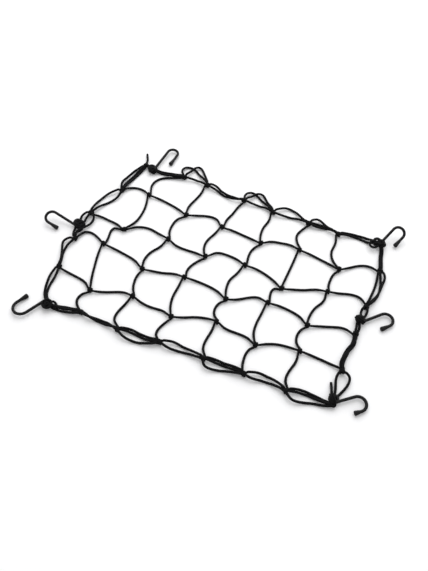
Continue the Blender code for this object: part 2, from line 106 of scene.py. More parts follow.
# How strands that are drawn together lie round their middle, as (left, up), by the number of strands.
BUNDLES = {
    1: ((0.0, 0.0),),
    2: ((1.15, 0.0), (-1.15, 0.0)),
    3: ((1.2, -0.5), (0.0, 1.25), (-1.2, -0.5)),
}


class Slot(Enum):
    """Names of the material slots."""

    MESH_CORD = "mesh_cord"
    BORDER_CORD = "border_cord"
    HOOK_WIRE = "hook_wire"


class ReturnSide(Enum):
    """The side of its shank on which a hook's return lies, looking from the eye to the bend."""

    LEFT = 1
    RIGHT = -1


class Hold(Enum):
    """What holds the border cord at a station on the rim."""

    COLLAR = "turns of mesh cord"
    TIE = "a tie on a hook's eye"
    OVERHAND = "a knot of the border cord itself"


@dataclass(frozen=True)
class Bow:
    """How far a length of cord bows to the left of its travel, and the height of its middle.

    Args:
        quarter: The bow at a quarter of its length.
        half: The bow at half its length.
        three_quarters: The bow at three quarters of its length.
        height: The height of its centre line above the floor.
    """

    quarter: float
    half: float
    three_quarters: float
    height: float = LOW


@dataclass(frozen=True)
class Loop:
    """A length of cord that stands out in a loop.

    Args:
        points: Where it passes, as (along, out) from its start.
        height: The height of its centre line above the floor.
    """

    points: tuple[tuple[float, float], ...]
    height: float = LOW


@dataclass(frozen=True)
class Twist(Loop):
    """A bundle of three strands twisted together, whose middle lies as a loop does.

    Args:
        turns: How often each strand goes round.
    """

    height: float = 3.6
    turns: float = 1.0


@dataclass(frozen=True)
class Station:
    """A place on the rim where the border cord is held.

    Args:
        name: The station's name.
        x: Its place along the long side.
        y: Its place toward the back edge.
        hold: What holds the cord there.
        hook: The hook that a tie holds.
    """

    name: str
    x: float
    y: float
    hold: Hold = Hold.COLLAR
    hook: str = ""


@dataclass(frozen=True)
class Run:
    """The border cord's strands from one station to the next, clockwise.

    Args:
        start: The station where the strands start.
        end: The station where they end.
        strands: The way each strand lies.
    """

    start: str
    end: str
    strands: tuple[Bow | Loop, ...]


@dataclass(frozen=True)
class Turn:
    """A closed turn of cord in a tie.

    Args:
        x: Its middle, along the net's long side from the eye's middle.
        y: Its middle, toward the back edge.
        z: Its middle, upward.
        long: Half its length.
        short: Half its width.
        heading: Where its length points, in degrees from x toward y.
        tilt: How far it is tipped about its length, in degrees.
        lobes: 3 for an overhand knot's turns, 0 for a plain oval.
    """

    x: float
    y: float
    z: float
    long: float
    short: float
    heading: float
    tilt: float
    lobes: int = 0


@dataclass(frozen=True)
class Tie:
    """The knot that ties the border cord to a hook's eye.

    Args:
        hook: The hook's node.
        arrive: Where the strands of the run before end, from the eye's middle.
        leave: Where the strands of the run after start.
        turns: The turns of cord in the knot.
    """

    hook: str
    arrive: tuple[float, float, float]
    leave: tuple[float, float, float]
    turns: tuple[Turn, ...]


@dataclass(frozen=True)
class HookShape:
    """One bent hook as it lies.

    Args:
        node: The node that the hook stands for.
        x: The place of the eye's middle along the long side.
        y: Its place toward the back edge.
        height: Its height above the floor.
        heading: Where the shank points, in degrees from x toward y.
        roll: How far the hook is turned about its shank, in degrees.
        side: Where the return lies.
        shank: The length from beside the eye to the bend.
        bend: The radius of the bend.
        back: The length of the return, tip included.
    """

    node: str
    x: float
    y: float
    height: float
    heading: float
    roll: float
    side: ReturnSide
    shank: float
    bend: float
    back: float


# Knots of each line across the net, back to front. The first and last of a line lie on the border.
KNOTS = (
    ((-181, 149), (-126, 155), (-85, 154), (-19, 147), (31, 141), (89, 141), (136, 138), (197, 143)),
    ((-204, 90), (-160, 98), (-89, 83), (-29, 82), (36, 76), (93, 86), (157, 75), (212, 95)),
    ((-225, 29), (-162, 19), (-93, 28), (-29, 20), (30, 28), (93, 10), (154, 30), (211, 26)),
    ((-221, -26), (-177, -18), (-103, -37), (-41, -27), (28, -38), (84, -21), (146, -34), (210, -22)),
    ((-215, -81), (-153, -100), (-93, -86), (-29, -95), (31, -78), (93, -91), (150, -77), (210, -84)),
    ((-196, -146), (-145, -138), (-87, -143), (-25, -138), (38, -138), (94, -134), (153, -140), (215, -130)),
)

# Legs of the lines that run across, by line, from left to right.
ROW_LEGS = {
    1: (Bow(9, 11, 8), Bow(3, 4, 3), Bow(6, 12, 12), Bow(2, 2, 1), Bow(7, 8, 7), Bow(2, 2, 1), Bow(4, 9, 8)),
    2: (Bow(2, 3, 3), Bow(11, 13, 7), Bow(-4, -3, -1), Bow(12, 12, 8), Bow(5, 6, 4), Bow(0, 1, 3),
        Bow(5, 11, 12)),
    3: (Bow(17, 16, 9), Bow(3, 5, 5), Bow(0, 1, 3), Bow(4, 6, 5), Bow(1, 6, 8), Bow(5, 7, 6), Bow(2, 5, 6)),
    4: (Bow(1, 4, 5), Bow(0, 3, 5), Bow(-2, -1, 2), Bow(1, 4, 4), Bow(-2, 1, 3), Bow(4, 6, 4), Bow(2, 3, 3)),
}

# Legs of the columns, by column, from back to front.
COLUMN_LEGS = {
    1: (Bow(-12, -21, -17), Bow(5, 8, 7), Bow(-14, -10, -3), Bow(-4, -4, -3), Bow(-10, -13, -9)),
    2: (Bow(-1, -3, -5), Bow(-8, -9, -6), Bow(-2, -8, -8), Bow(-4, -5, -3), Bow(-5, -10, -10)),
    3: (Bow(-1, -1, -2), Bow(-5, -10, -9), Bow(-3, -6, -5), Bow(-4, -7, -6), Bow(-4, -9, -10)),
    4: (Bow(-1, -5, -5), Bow(-4, -5, -2), Bow(-4, -9, -7), Bow(-7, -9, -7), Bow(-2, -5, -5)),
    5: (Bow(-6, -11, -7), Bow(-1, -1, -1), Bow(-9, -7, -3), Bow(-4, -7, -7), Bow(-6, -7, -6)),
    6: (Bow(-4, -10, -9), Bow(-4, -4, -3), Bow(2, -3, -4), Bow(-7, -9, -7), Bow(0, -4, -5)),
}

HOOKS = (
    HookShape("hook_back_left", -183, 153, 4.6, 86, -5, ReturnSide.RIGHT, 45, 8.5, 24),
    HookShape("hook_back_right", 193.5, 144, 6.4, 66, -20, ReturnSide.RIGHT, 31.5, 9.0, 19),
    HookShape("hook_left", -232, 1.5, 5.2, 173, -15, ReturnSide.LEFT, 37.5, 9.4, 18),
    HookShape("hook_right", 209, 3, 4.6, 47, -3, ReturnSide.RIGHT, 31, 10.0, 14),
    HookShape("hook_front_right", 212, -126.5, 4.6, 40, -3, ReturnSide.RIGHT, 27, 10.2, 10),
    HookShape("hook_front_left", -197.5, -145, 4.6, -114, -3, ReturnSide.RIGHT, 28, 12.0, 18),
)

STATIONS = (
    Station("B0", -181, 149, Hold.TIE, "hook_back_left"),
    Station("B1", -126, 155),
    Station("B2", -85, 154),
    Station("B3", -19, 147),
    Station("B4", 31, 141),
    Station("B5", 89, 141),
    Station("B6", 136, 138),
    Station("B7", 196, 143, Hold.TIE, "hook_back_right"),
    Station("R1", 212, 95),
    Station("R2", 211, 26),
    Station("RH", 210, 0, Hold.TIE, "hook_right"),
    Station("R3", 210, -22),
    Station("R4", 210, -84),
    Station("F7", 214, -130, Hold.TIE, "hook_front_right"),
    Station("F6", 153, -140),
    Station("F5", 95.5, -138),
    Station("F4", 38, -138),
    Station("F3", -25, -138),
    Station("F2", -87, -143),
    Station("F1", -145, -138),
    Station("F0", -194, -145, Hold.TIE, "hook_front_left"),
    Station("L4", -215, -81),
    Station("L3", -221, -26),
    Station("LH", -228, 1, Hold.TIE, "hook_left"),
    Station("L2", -225, 29),
    Station("L1", -204, 90),
    Station("LX", -195, 155, Hold.OVERHAND),
)

RUNS = (
    Run("B0", "B1", (Bow(2, 3, 2), Bow(-1, -2, -2))),
    Run("B1", "B2", (Bow(1, 2, 1), Loop(((-9, 11), (-9, 20), (-3, 25), (7, 24), (21, 15), (34, 7))),
        Loop(((3, 12), (6, 21), (9, 29), (15, 31), (22, 25), (33, 12))))),
    Run("B2", "B3", (Loop(((12, 4.5), (28, -1), (42, -5), (56, -4))), Bow(-2.5, -6, -6))),
    Run("B3", "B4", (Bow(-1, 1, 2), Loop(((-3, 8), (-2, 15), (3, 20), (10, 20), (23, 14), (40, 6))),
        Loop(((5, 7), (9, 16), (14, 23), (21, 24), (33, 14), (43, 7))))),
    Run("B4", "B5", (Bow(-1, 1, 2), Loop(((7, 9), (14, 15), (27, 16), (40, 9), (48, 3))))),
    Run("B5", "B6", (Loop(((4, 8), (9, 13), (16, 11.5), (25, 6), (34, 2))), Bow(3, 4, 2), Bow(-2, 1, 3))),
    Run("B6", "B7", (Bow(5.5, 7.5, 6), Bow(2.5, 2.5, -1))),
    Run("B7", "R1", (Bow(3, 1, 0), Bow(5.5, 4, 3))),
    Run("R1", "R2", (Loop(((10, -1), (25, 1), (40, 1), (51, 0.5), (60, 0))),
        Loop(((10, 3), (22, 7), (42, 9), (56, 6))),
        Loop(((1, 6), (8, 9), (18, 9.8), (30, 9.5), (44, 8.5), (58, 4))))),
    Run("R2", "RH", (Loop(((4, -4), (9, -4), (16, -1))), Loop(((6, 3), (10, 4), (17, 3))))),
    Run("RH", "R3", (Bow(1, 2, 1), Bow(-1, -2, -1))),
    Run("R3", "R4", (Twist(((8, 2), (17, 1), (31, -2), (45, -4), (55, -2))),)),
    Run("R4", "F7", (Loop(((7, -4), (15, -5), (24, -3), (32, -2))),
        Loop(((2, 4), (6, 11), (17, 11), (27, 7), (35, 3))))),
    Run("F7", "F6", (Loop(((8, 1.5), (15, -0.5), (26, -3.5), (40, -5.9), (52, -5))),
        Loop(((9, 4.5), (16, 2.8), (27, 0.2), (40, -2.2), (52, -1.6))),
        Loop(((8, 7.4), (14, 7.9), (27, 8), (42, 10.4), (53, 9.8), (60, 5))))),
    Run("F6", "F5", (Bow(-7, -9.6, -8.6), Loop(((8, -1), (29, -1.5), (46, 2), (53, 3), (57, 1))))),
    Run("F5", "F4", (Bow(-4.2, -4.6, -4.2), Bow(-0.6, -0.9, -0.6),
        Loop(((7, 2.5), (15, 4), (28, 6.6), (43, 10.4), (53, 9), (57, 5))))),
    Run("F4", "F3", (Bow(-4, -6, -7), Bow(1, 2, 4))),
    Run("F3", "F2", (Bow(-1.2, -4, -5.4), Bow(2.6, -0.2, -1.8),
        Loop(((6, 4.8), (18, 8.2), (34, 10), (48, 8.6), (57, 4.5))))),
    Run("F2", "F1", (Bow(1, 1, 1), Bow(-2, -1, 2))),
    Run("F1", "F0", (Bow(-1.5, -2.5, -1.5), Bow(0.5, 1, 1),
        Loop(((7, 4), (13, 4.6), (23, 5), (34, 4.4), (42, 3))))),
    Run("F0", "L4", (Bow(9, 11, 9), Bow(6, 6, 1))),
    Run("L4", "L3", (Loop(((10, 2), (20, 5), (32, 10), (44, 14), (50, 11))), Bow(2, 6, 5))),
    Run("L3", "LH", (Loop(((9, 5), (15, 5), (20, 2))), Bow(2, -1, -6))),
    Run("L3", "L2", (Loop(((9, 2), (18, -1), (29, -7), (41, -10), (50, -7))),)),
    Run("LH", "L2", (Loop(((7, 4.8), (12, 6.8), (18, 7), (24, 5))), Loop(((8, -2.5), (15, -1), (22, 0))))),
    Run("L2", "L1", (Bow(8, 11, 9), Bow(0, -3, -6))),
    Run("L1", "LX", (Bow(10.5, 10.5, 8), Bow(3.5, 3.5, 2), Bow(0, -0.3, -1.5))),
    Run("LX", "B0", (Bow(1, 1, 1), Bow(-1, -1, -1))),
)

# Where the border's strands come to each tie and leave it, and the turns of cord that are drawn tight
# there, all measured from the middle of the hook's eye.
TIES = (
    Tie("hook_back_left", (1.0, -2.5, 0.6), (7.0, -3.0, 0.4), (
        Turn(4.0, -5.0, 0.6, 4.4, 3.6, -20, 8, lobes=3),
        Turn(4.2, -4.6, 2.4, 2.6, 2.0, 40, 20),
        Turn(-0.6, -2.2, 0.8, 2.8, 2.0, 60, 30),
        Turn(9.0, -2.6, 0.8, 2.8, 2.0, 100, 35))),
    Tie("hook_back_right", (2.0, -3.4, 1.6), (6.5, -2.5, -0.2), (
        Turn(-3.0, -6.8, 1.0, 6.2, 5.6, 40, 6),
        Turn(6.2, -1.0, 0.8, 4.1, 3.9, 60, 10, lobes=3),
        Turn(6.4, -0.8, 2.6, 2.8, 2.2, -50, 10),
        Turn(10.8, -0.4, -1.4, 2.6, 2.0, -70, 40))),
    Tie("hook_left", (1.0, -4.5, 0.6), (4.6, 1.4, 0.8), (
        Turn(4.4, -2.4, 2.4, 6.5, 5.9, 30, 6),
        Turn(5.8, -3.0, 1.2, 4.6, 4.2, 30, 6, lobes=3),
        Turn(5.4, -2.8, 2.6, 2.8, 2.2, 90, 20),
        Turn(9.0, -5.0, -1.0, 3.0, 2.2, -60, 30))),
    Tie("hook_right", (1.6, 1.6, 1.0), (-1.6, -5.0, 0.4), (
        Turn(-0.5, -3.2, 0.9, 6.6, 3.3, -25, -64),
        Turn(0.5, -1.1, 1.9, 6.6, 3.3, -25, -64),
        Turn(-0.4, -2.4, 1.0, 3.8, 1.8, -25, -64))),
    Tie("hook_front_right", (0.0, 2.0, 1.6), (1.4, -8.0, -0.6), (
        Turn(-2.0, -2.0, 1.2, 6.4, 3.2, -55, -82),
        Turn(0.4, -0.6, 1.6, 6.4, 3.2, -55, -82),
        Turn(-0.8, -1.4, 1.2, 4.0, 1.8, -55, -82),
        Turn(1.2, -7.4, -0.4, 3.2, 2.2, -30, 30),
        Turn(2.0, -8.2, 0.4, 2.6, 2.0, 50, 10))),
    Tie("hook_front_left", (3.4, -1.6, 0.8), (2.6, 2.0, 1.0), (
        Turn(3.6, -1.5, 2.8, 7.0, 6.4, -30, 8),
        Turn(3.2, -1.2, 0.8, 4.0, 3.8, -40, 8, lobes=3),
        Turn(3.4, -1.4, 2.6, 2.4, 1.8, 60, 10),
        Turn(11.6, 2.0, -1.2, 7.2, 3.6, -38, 6))),
)

# Cut ends of the border cord, free on the floor, as (x, y, height).
LOOSE_ENDS = (
    ((-194, 154, 4.2), (-195.7, 160.5, 4.6), (-197.8, 167.4, 3.6), (-201.8, 174.6, 2.4),
     (-205.4, 180.9, 2.4)),
    ((209.5, -127, 6.0), (208, -123.5, 6.8), (206.7, -119, 6.2), (205, -113.7, 4.4), (203.5, -109, 3.0),
     (202, -104.7, 2.4)),
)


@dataclass(frozen=True)
class Spot:
    """A point of a cord's route.

    Args:
        place: Where the centre line passes.
        radius: The cord's radius there.
    """

    place: Vector
    radius: float


@dataclass(frozen=True)
class Place:
    """Where the border cord is held, and its clockwise direction there.

    Args:
        mark: Its place on the floor, from which the tables measure.
        arrive: The middle of the strands that come in.
        leave: The middle of the strands that go out.
        clockwise: The level direction in which the border runs on.
        tied: Whether the strands turn into a tie there, and so don't run straight through.
    """

    mark: Vector
    arrive: Vector
    leave: Vector
    clockwise: Vector
    tied: bool = False

    @property
    def centre(self) -> Vector:
        """Gives the middle of the drawn-in strands."""
        return (self.arrive + self.leave) / 2.0

    @property
    def inward(self) -> Vector:
        """Gives the level direction toward the mesh."""
        return -left_of(self.clockwise)


def linear(code: str) -> tuple[float, float, float, float]:
    """Turns an sRGB hex colour to linear light.

    Args:
        code: The colour, as "#rrggbb".

    Returns:
        Linear red, green and blue, and full alpha.
    """
    parts = [int(code[index:index + 2], 16) / 255.0 for index in (1, 3, 5)]
    red, green, blue = (
        part / 12.92 if part <= 0.04045 else ((part + 0.055) / 1.055) ** 2.4 for part in parts)
    return (red, green, blue, 1.0)


def level(vector: Vector) -> Vector:
    """Gives the level unit vector along this one."""
    return Vector((vector.x, vector.y, 0.0)).normalized()


def left_of(direction: Vector) -> Vector:
    """Gives the level direction a quarter turn to the left of this one."""
    return Vector((-direction.y, direction.x, 0.0))


def flat(point: Sequence[float]) -> Vector:
    """Gives the place on the floor of an (x, y) of a table."""
    return Vector((point[0], point[1], 0.0))


def plan_distance(first: Vector, second: Vector) -> float:
    """Gives the distance between two places as seen from above."""
    return math.hypot(first.x - second.x, first.y - second.y)


def ease(share: float) -> float:
    """Gives a smooth step from 0 to 1 as the share runs from 0 to 1."""
    held = min(max(share, 0.0), 1.0)
    return held * held * (3.0 - 2.0 * held)


def curve_point(four: Sequence[Vector], share: float) -> Vector:
    """Reads a centripetal Catmull-Rom curve between the middle two of four points.

    Args:
        four: The point before, the start, the end and the point after.
        share: How far along, from 0 at the start to 1 at the end.

    Returns:
        The point on the curve.
    """
    times = [0.0]
    for near, far in zip(four, four[1:]):
        times.append(times[-1] + max(math.sqrt((far - near).length), LEAST_TIME))
    now = times[1] + share * (times[2] - times[1])

    def blend(low: int, first: Vector, high: int, second: Vector) -> Vector:
        """Reads the straight line between two points that are passed at two of the times."""
        return first.lerp(second, (now - times[low]) / (times[high] - times[low]))

    before = blend(0, blend(0, four[0], 1, four[1]), 2, blend(1, four[1], 2, four[2]))
    after = blend(1, blend(1, four[1], 2, four[2]), 3, blend(2, four[2], 3, four[3]))
    return blend(1, before, 2, after)


def smoothed(spots: Sequence[Spot], step: float) -> list[Spot]:
    """Reads a smooth curve through a cord's spots.

    Args:
        spots: The spots that the cord passes through.
        step: The length of each short piece of the curve.

    Returns:
        The cord's route in short steps.
    """
    places = [spot.place for spot in spots]
    places = [places[0] * 2.0 - places[1], *places, places[-1] * 2.0 - places[-2]]
    route = [spots[0]]
    for index, (near, far) in enumerate(zip(spots, spots[1:])):
        count = max(1, round((far.place - near.place).length / step))
        for part in range(1, count + 1):
            share = part / count
            radius = near.radius + (far.radius - near.radius) * ease(share)
            route.append(Spot(curve_point(places[index:index + 4], share), radius))
    return route


def slack_parts(route: Sequence[Spot], slack: float) -> list[bool]:
    """Tells of each point of a cord whether it lies slack, by its radius."""
    return [spot.radius > slack - NEAR for spot in route]


def relaxed(route: Sequence[Spot], slack: float, passes: int) -> list[Spot]:
    """Lets the slack parts of a cord spring out of their kinks, as elastic cord does.

    Each point moves toward the middle of its neighbours and then back by a little more, so that kinks go
    and the long bows keep their size.

    Args:
        route: The cord's route in short steps.
        slack: The cord's slack radius.
        passes: How many times the points move.

    Returns:
        The relaxed route.
    """
    places = [spot.place.copy() for spot in route]
    loose = slack_parts(route, slack)
    free = [index for index in range(1, len(route) - 1) if loose[index]]
    for share in RELAXING_STEPS * passes:
        moved = [places[index].lerp((places[index - 1] + places[index + 1]) / 2.0, share) for index in free]
        for index, place in zip(free, moved):
            places[index] = place
    return [Spot(place, spot.radius) for place, spot in zip(places, route)]


def settled(route: Sequence[Spot], laid: Sequence[Sequence[Spot]], slack: float) -> list[Spot]:
    """Lifts the slack parts of a cord over the cords that already lie on the floor.

    Args:
        route: The cord's route in short steps.
        laid: The routes of the cords below it.
        slack: The cord's slack radius.

    Returns:
        The route, humped where it passes over another cord.
    """
    mine = np.array([spot.place[:] for spot in route])
    others = np.array([spot.place[:] for other in laid for spot in other])
    free = np.array(slack_parts(route, slack))
    gap = np.hypot(mine[:, None, 0] - others[None, :, 0], mine[:, None, 1] - others[None, :, 1])
    thick = 2.0 * slack * PRESSED
    need = others[None, :, 2] + np.sqrt(np.maximum(thick ** 2 - gap ** 2, 0.0))
    need = np.where((gap < thick) & (others[None, :, 2] < TOP_HEIGHT), need, 0.0).max(axis=1)
    along = np.concatenate(([0.0], np.cumsum(np.linalg.norm(np.diff(mine, axis=0), axis=1))))
    ramp = need[None, :] - HUMP_SLOPE * np.abs(along[:, None] - along[None, :])
    lift = np.maximum(mine[:, 2], ramp.max(axis=1))
    lift = np.where(free, lift, mine[:, 2])
    return [Spot(Vector((place[0], place[1], height)), spot.radius)
            for place, height, spot in zip(mine, lift, route)]


def select_only(thing: bpy.types.Object) -> None:
    """Makes one object the only selected one, and the active one.

    Args:
        thing: The object.
    """
    bpy.ops.object.select_all(action="DESELECT")
    thing.select_set(True)
    bpy.context.view_layer.objects.active = thing


def spread_along(mesh: bpy.types.Mesh, route: Sequence[Spot]) -> None:
    """Scales a cord's UV map so that u is the length along the cord and v the way round it, both in mm.

    Args:
        mesh: The mesh of one cord, made from one spline.
        route: The spots that the spline passes through.
    """
    along = [0.0]
    for near, far in zip(route, route[1:]):
        along.append(along[-1] + (far.place - near.place).length)
    round_it = FULL_TURN * max(spot.radius for spot in route)
    chart = mesh.uv_layers[0].data
    for face in mesh.polygons:
        for corner in face.loop_indices:
            u, v = chart[corner].uv
            chart[corner].uv = (along[round(u * (len(route) - 1))], v * round_it)


def make_cords(name: str, routes: Sequence[Sequence[Spot]], sides: int) -> bpy.types.Object:
    """Makes one mesh of round cords, closed at their ends.

    Args:
        name: The piece's name.
        routes: Each cord's route, in short steps.
        sides: The number of sides of a cord, an even number.

    Returns:
        The piece, in the tables' own frame.
    """
    cords = []
    for route in routes:
        curve = bpy.data.curves.new(name, "CURVE")
        curve.dimensions = "3D"
        curve.bevel_depth = 1.0
        curve.bevel_resolution = (sides - 4) // 2
        curve.use_fill_caps = True
        spline = curve.splines.new("POLY")
        spline.points.add(len(route) - 1)
        for point, spot in zip(spline.points, route):
            place = spot.place
            point.co = (place.x, place.y, max(place.z, spot.radius * ON_FLOOR), 1.0)
            point.radius = spot.radius
        cord = bpy.data.objects.new(name, curve)
        bpy.context.scene.collection.objects.link(cord)
        select_only(cord)
        bpy.ops.object.convert(target="MESH")
        spread_along(cord.data, route)
        cords.append(cord)
    bpy.ops.object.select_all(action="DESELECT")
    for cord in cords:
        cord.select_set(True)
    bpy.context.view_layer.objects.active = cords[0]
    bpy.ops.object.join()
    cords[0].name = name
    cords[0].data.name = name
    return cords[0]


def lay_down(piece: bpy.types.Object, matrix: Matrix) -> None:
    """Moves a mesh from its own millimetres to its place on the part, in metres, and closes its seams.

    Args:
        piece: The piece, its object at the origin.
        matrix: Where the mesh lies in the tables' frame.
    """
    to_part = Matrix.Scale(MM, 4) @ Matrix.Translation(-MIDDLE)
    shape = bmesh.new()
    shape.from_mesh(piece.data)
    bmesh.ops.transform(shape, matrix=matrix, verts=shape.verts)
    bmesh.ops.remove_doubles(shape, verts=shape.verts, dist=NEAR)
    bmesh.ops.recalc_face_normals(shape, faces=shape.faces)
    bmesh.ops.transform(shape, matrix=to_part, verts=shape.verts)
    shape.to_mesh(piece.data)
    shape.free()
    select_only(piece)
    bpy.ops.object.shade_smooth_by_angle(angle=SMOOTH_ANGLE)


def finish_piece(piece: bpy.types.Object, node: str) -> None:
    """Fixes a finished piece to the part's body, hides the part's own solid for its node, and logs its faces.

    Args:
        piece: The piece.
        node: The node that it stands for.
    """
    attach(piece, "root")
    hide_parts(node)
    LOG.info("%s: %d faces", piece.name, len(piece.data.polygons))


def new_material(piece: bpy.types.Object, name: str) -> bpy.types.NodeTree:
    """Gives a piece a new material, as its only one.

    Args:
        piece: The piece.
        name: The material's name.

    Returns:
        The material's node tree.
    """
    material = bpy.data.materials.new(name)
    material.use_nodes = True
    piece.data.materials.clear()
    piece.data.materials.append(material)
    return material.node_tree


def feed(node: bpy.types.Node, settings: Settings, links: Links) -> None:
    """Sets a node's inputs and links them.

    Args:
        node: The node.
        settings: Values for its inputs, by input name or number.
        links: Sockets that feed its inputs, by input name or number.
    """
    for name, value in settings.items():
        node.inputs[name].default_value = value
    for name, socket in links.items():
        node.id_data.links.new(socket, node.inputs[name])


def add_node(tree: bpy.types.NodeTree, kind: str, settings: Settings = MappingProxyType({}),
             links: Links = MappingProxyType({}), **values: Any) -> bpy.types.Node:
    """Adds one node to a material.

    Args:
        tree: The material's node tree.
        kind: The node's type, without "ShaderNode".
        settings: Values for the node's inputs.
        links: Sockets that feed the node's inputs.
        **values: The node's own properties.

    Returns:
        The new node.
    """
    node = tree.nodes.new("ShaderNode" + kind)
    for name, value in values.items():
        setattr(node, name, value)
    feed(node, settings, links)
    return node


@dataclass(frozen=True)
class BraidedCord:
    """Elastic cord: rubber strands in a sheath of black polyester yarn, braided on a round machine.

    Fine slanted flecks of painted highlight: yarn crowns are painted lighter than hollows, in patches.

    Args:
        name: The material's name.
        yarn: The colour of the yarn.
        painted_sheen: The lighter colour painted on the yarns' crowns, a painted highlight.
        pitch: The length along the cord of one yarn's crossing. Real yarns cross every 0.7 mm, drawn
            coarser here so that they show.
        around: How many crossings go round the cord.
        over: How soon one yarn gives way to the other where they cross.
        relief: How high the yarns stand.
        highlight_patch_scale: How fine the patches of painted highlight are.
        highlight_patches: The noise range over which a patch goes from no painted highlight to full.
    """

    name: str = "braided_elastic_cord"
    yarn: str = "#040405"
    # The lighter colour of the painted highlight on the yarns' crowns.
    painted_sheen: str = "#1c1c1f"
    pitch: float = 1.5
    around: int = 5
    over: float = 0.2
    relief: float = 0.18
    highlight_patch_scale: float = 0.55
    highlight_patches: tuple[float, float] = (0.45, 0.75)

    def dress(self, piece: bpy.types.Object, radius: float) -> None:
        """Gives a piece of cord its braided sheath.

        Args:
            piece: The piece, its UV map in millimetres.
            radius: The cord's radius.
        """
        tree = new_material(piece, self.name + "_" + piece.name)
        chart = add_node(tree, "UVMap", uv_map=piece.data.uv_layers[0].name)
        split = add_node(tree, "SeparateXYZ", links={0: chart.outputs["UV"]})
        along = add_node(tree, "Math", {1: FULL_TURN / (2.0 * self.pitch)}, {0: split.outputs["X"]},
                         operation="MULTIPLY")
        across = add_node(tree, "Math", {1: self.around / radius}, {0: split.outputs["Y"]},
                          operation="MULTIPLY")
        waves, crowns = [], []
        for way in ("ADD", "SUBTRACT"):
            slant = add_node(tree, "Math", links={0: along.outputs[0], 1: across.outputs[0]}, operation=way)
            wave = add_node(tree, "Math", links={0: slant.outputs[0]}, operation="SINE")
            crown = add_node(tree, "Math", links={0: wave.outputs[0]}, operation="ABSOLUTE")
            waves.append(wave.outputs[0])
            crowns.append(crown.outputs[0])
        weave = add_node(tree, "Math", links={0: waves[0], 1: waves[1]}, operation="MULTIPLY")
        over = add_node(tree, "MapRange", {"From Min": -self.over, "From Max": self.over},
                        {"Value": weave.outputs[0]})
        height = add_node(tree, "Mix", links={FACTOR: over.outputs[0], FIRST: crowns[1], SECOND: crowns[0]})
        highlight_noise = add_node(tree, "TexNoise", {"Scale": self.highlight_patch_scale, "Detail": 3.0, "Roughness": 0.7},
                         {"Vector": chart.outputs["UV"]})
        highlight_patches = add_node(tree, "MapRange", {"From Min": self.highlight_patches[0], "From Max": self.highlight_patches[1]},
                        {"Value": highlight_noise.outputs["Fac"]})
        # Painted highlight: the colour is lighter on the yarns' crowns and darker in the hollows, in noisy
        # patches.
        painted_sheen_mask = add_node(tree, "Math", links={0: height.outputs[0], 1: highlight_patches.outputs[0]}, operation="MULTIPLY")
        tint = add_node(tree, "Mix", {FIRST_COLOUR: linear(self.yarn), SECOND_COLOUR: linear(self.painted_sheen)},
                        {FACTOR: painted_sheen_mask.outputs[0]}, data_type="RGBA")
        relief = add_node(tree, "Bump", {"Strength": 0.8, "Distance": self.relief * MM},
                          {"Height": height.outputs[0]})
        feed(tree.nodes["Principled BSDF"],
             {"Roughness": 0.7, "Specular IOR Level": 0.1, "Sheen Weight": 0.02, "Sheen Roughness": 0.4},
             {"Base Color": tint.outputs[MIXED_COLOUR], "Normal": relief.outputs["Normal"]})


@dataclass(frozen=True)
class DippedWire:
    """Steel wire dipped in black plastic, which runs down to a thick tip and cures with a soft gloss.

    The coat is faintly wavy, so its highlights wander, and handling has dulled it in patches.

    Args:
        name: The material's name.
        coat: The colour of the plastic.
        scuffed: The colour where it is rubbed.
        gloss: The roughness of the plastic, whole and rubbed.
        wave: The length of the coat's waves.
        relief: How high they stand.
    """

    name: str = "dipped_black_plastic"
    coat: str = "#050506"
    scuffed: str = "#111112"
    gloss: tuple[float, float] = (0.5, 0.62)
    wave: float = 6.0
    relief: float = 0.3

    def dress(self, piece: bpy.types.Object) -> None:
        """Gives a hook its coat.

        Args:
            piece: The hook.
        """
        tree = new_material(piece, self.name + "_" + piece.name)
        chart = {"Vector": add_node(tree, "TexCoord").outputs["Object"]}
        wave = add_node(tree, "TexNoise", {"Scale": 1.0 / (self.wave * MM), "Detail": 2.0}, chart)
        scuff = add_node(tree, "TexNoise",
                         {"Scale": 4.0 / (self.wave * MM), "Detail": 5.0, "Roughness": 0.65}, chart)
        rubbed = add_node(tree, "MapRange", {"From Min": 0.5, "From Max": 0.7},
                          {"Value": scuff.outputs["Fac"]}).outputs[0]
        tint = add_node(tree, "Mix", {FIRST_COLOUR: linear(self.coat), SECOND_COLOUR: linear(self.scuffed)},
                        {FACTOR: rubbed}, data_type="RGBA")
        gloss = add_node(tree, "MapRange", {"To Min": self.gloss[0], "To Max": self.gloss[1]},
                         {"Value": rubbed})
        relief = add_node(tree, "Bump", {"Strength": 0.35, "Distance": self.relief * MM},
                          {"Height": wave.outputs["Fac"]})
        feed(tree.nodes["Principled BSDF"], {"Specular IOR Level": 0.2},
             {"Base Color": tint.outputs[MIXED_COLOUR], "Roughness": gloss.outputs[0],
              "Normal": relief.outputs["Normal"]})


@dataclass(frozen=True)
class MattPaper:
    """Seamless white background paper: flat, matt and without a pattern.

    Args:
        name: The material's name.
        colour: The paper's colour.
        grain: How fine its grain is.
    """

    name: str = "white_background_paper"
    colour: str = "#f7f7f8"
    grain: float = 900.0

    def dress(self, piece: bpy.types.Object) -> None:
        """Gives the floor its paper.

        Args:
            piece: The floor.
        """
        tree = new_material(piece, self.name)
        grain = add_node(tree, "TexNoise", {"Scale": self.grain, "Detail": 2.0},
                         {"Vector": add_node(tree, "TexCoord").outputs["Object"]})
        relief = add_node(tree, "Bump", {"Strength": 0.05, "Distance": 0.05 * MM},
                          {"Height": grain.outputs["Fac"]})
        feed(tree.nodes["Principled BSDF"],
             {"Base Color": linear(self.colour), "Roughness": 0.9, "Specular IOR Level": 0.1},
             {"Normal": relief.outputs["Normal"]})


